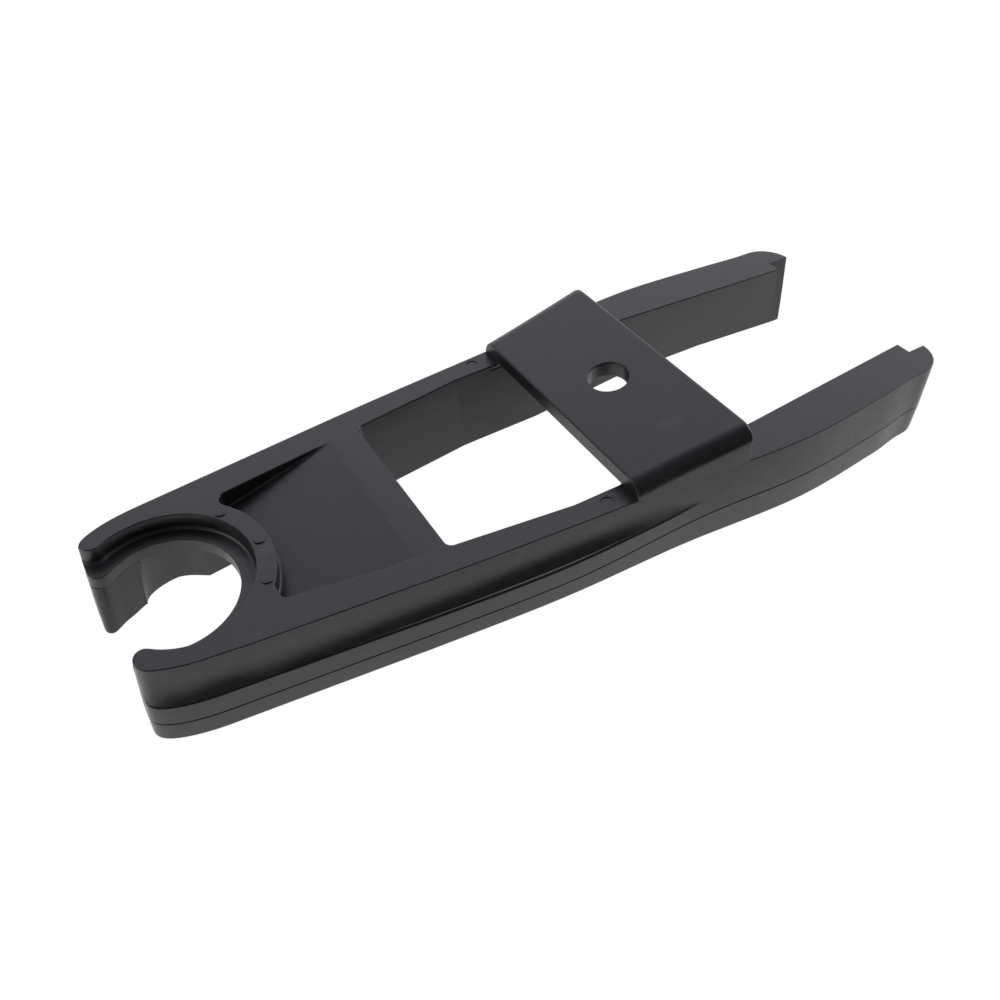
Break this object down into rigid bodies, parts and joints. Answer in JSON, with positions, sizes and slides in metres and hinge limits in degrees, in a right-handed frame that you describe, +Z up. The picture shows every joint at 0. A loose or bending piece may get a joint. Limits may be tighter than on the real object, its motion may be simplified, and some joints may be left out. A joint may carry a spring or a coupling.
{
  "type": "chain slider",
  "caption": "Rubber swingarm chain slider: C-shaped snap clip, tapering rails with a window, side chain grooves, a raised bridge with a bolt hole and a pair of free prongs.",
  "frame": {"origin": "middle of the underside: halfway between the lip end and the prong tips, on the centre line, at the face it rests on", "axes": "+X from the clip to the prong tips, +Y across, +Z up, square to the underside the rails rest on"},
  "size_m": [0.3021, 0.1086, 0.0404],
  "materials": {
    "rubber": "satin moulded black rubber"
  },
  "bodies": {
    "root": {"chain_slider": "rubber"}
  },
  "joints": []
}
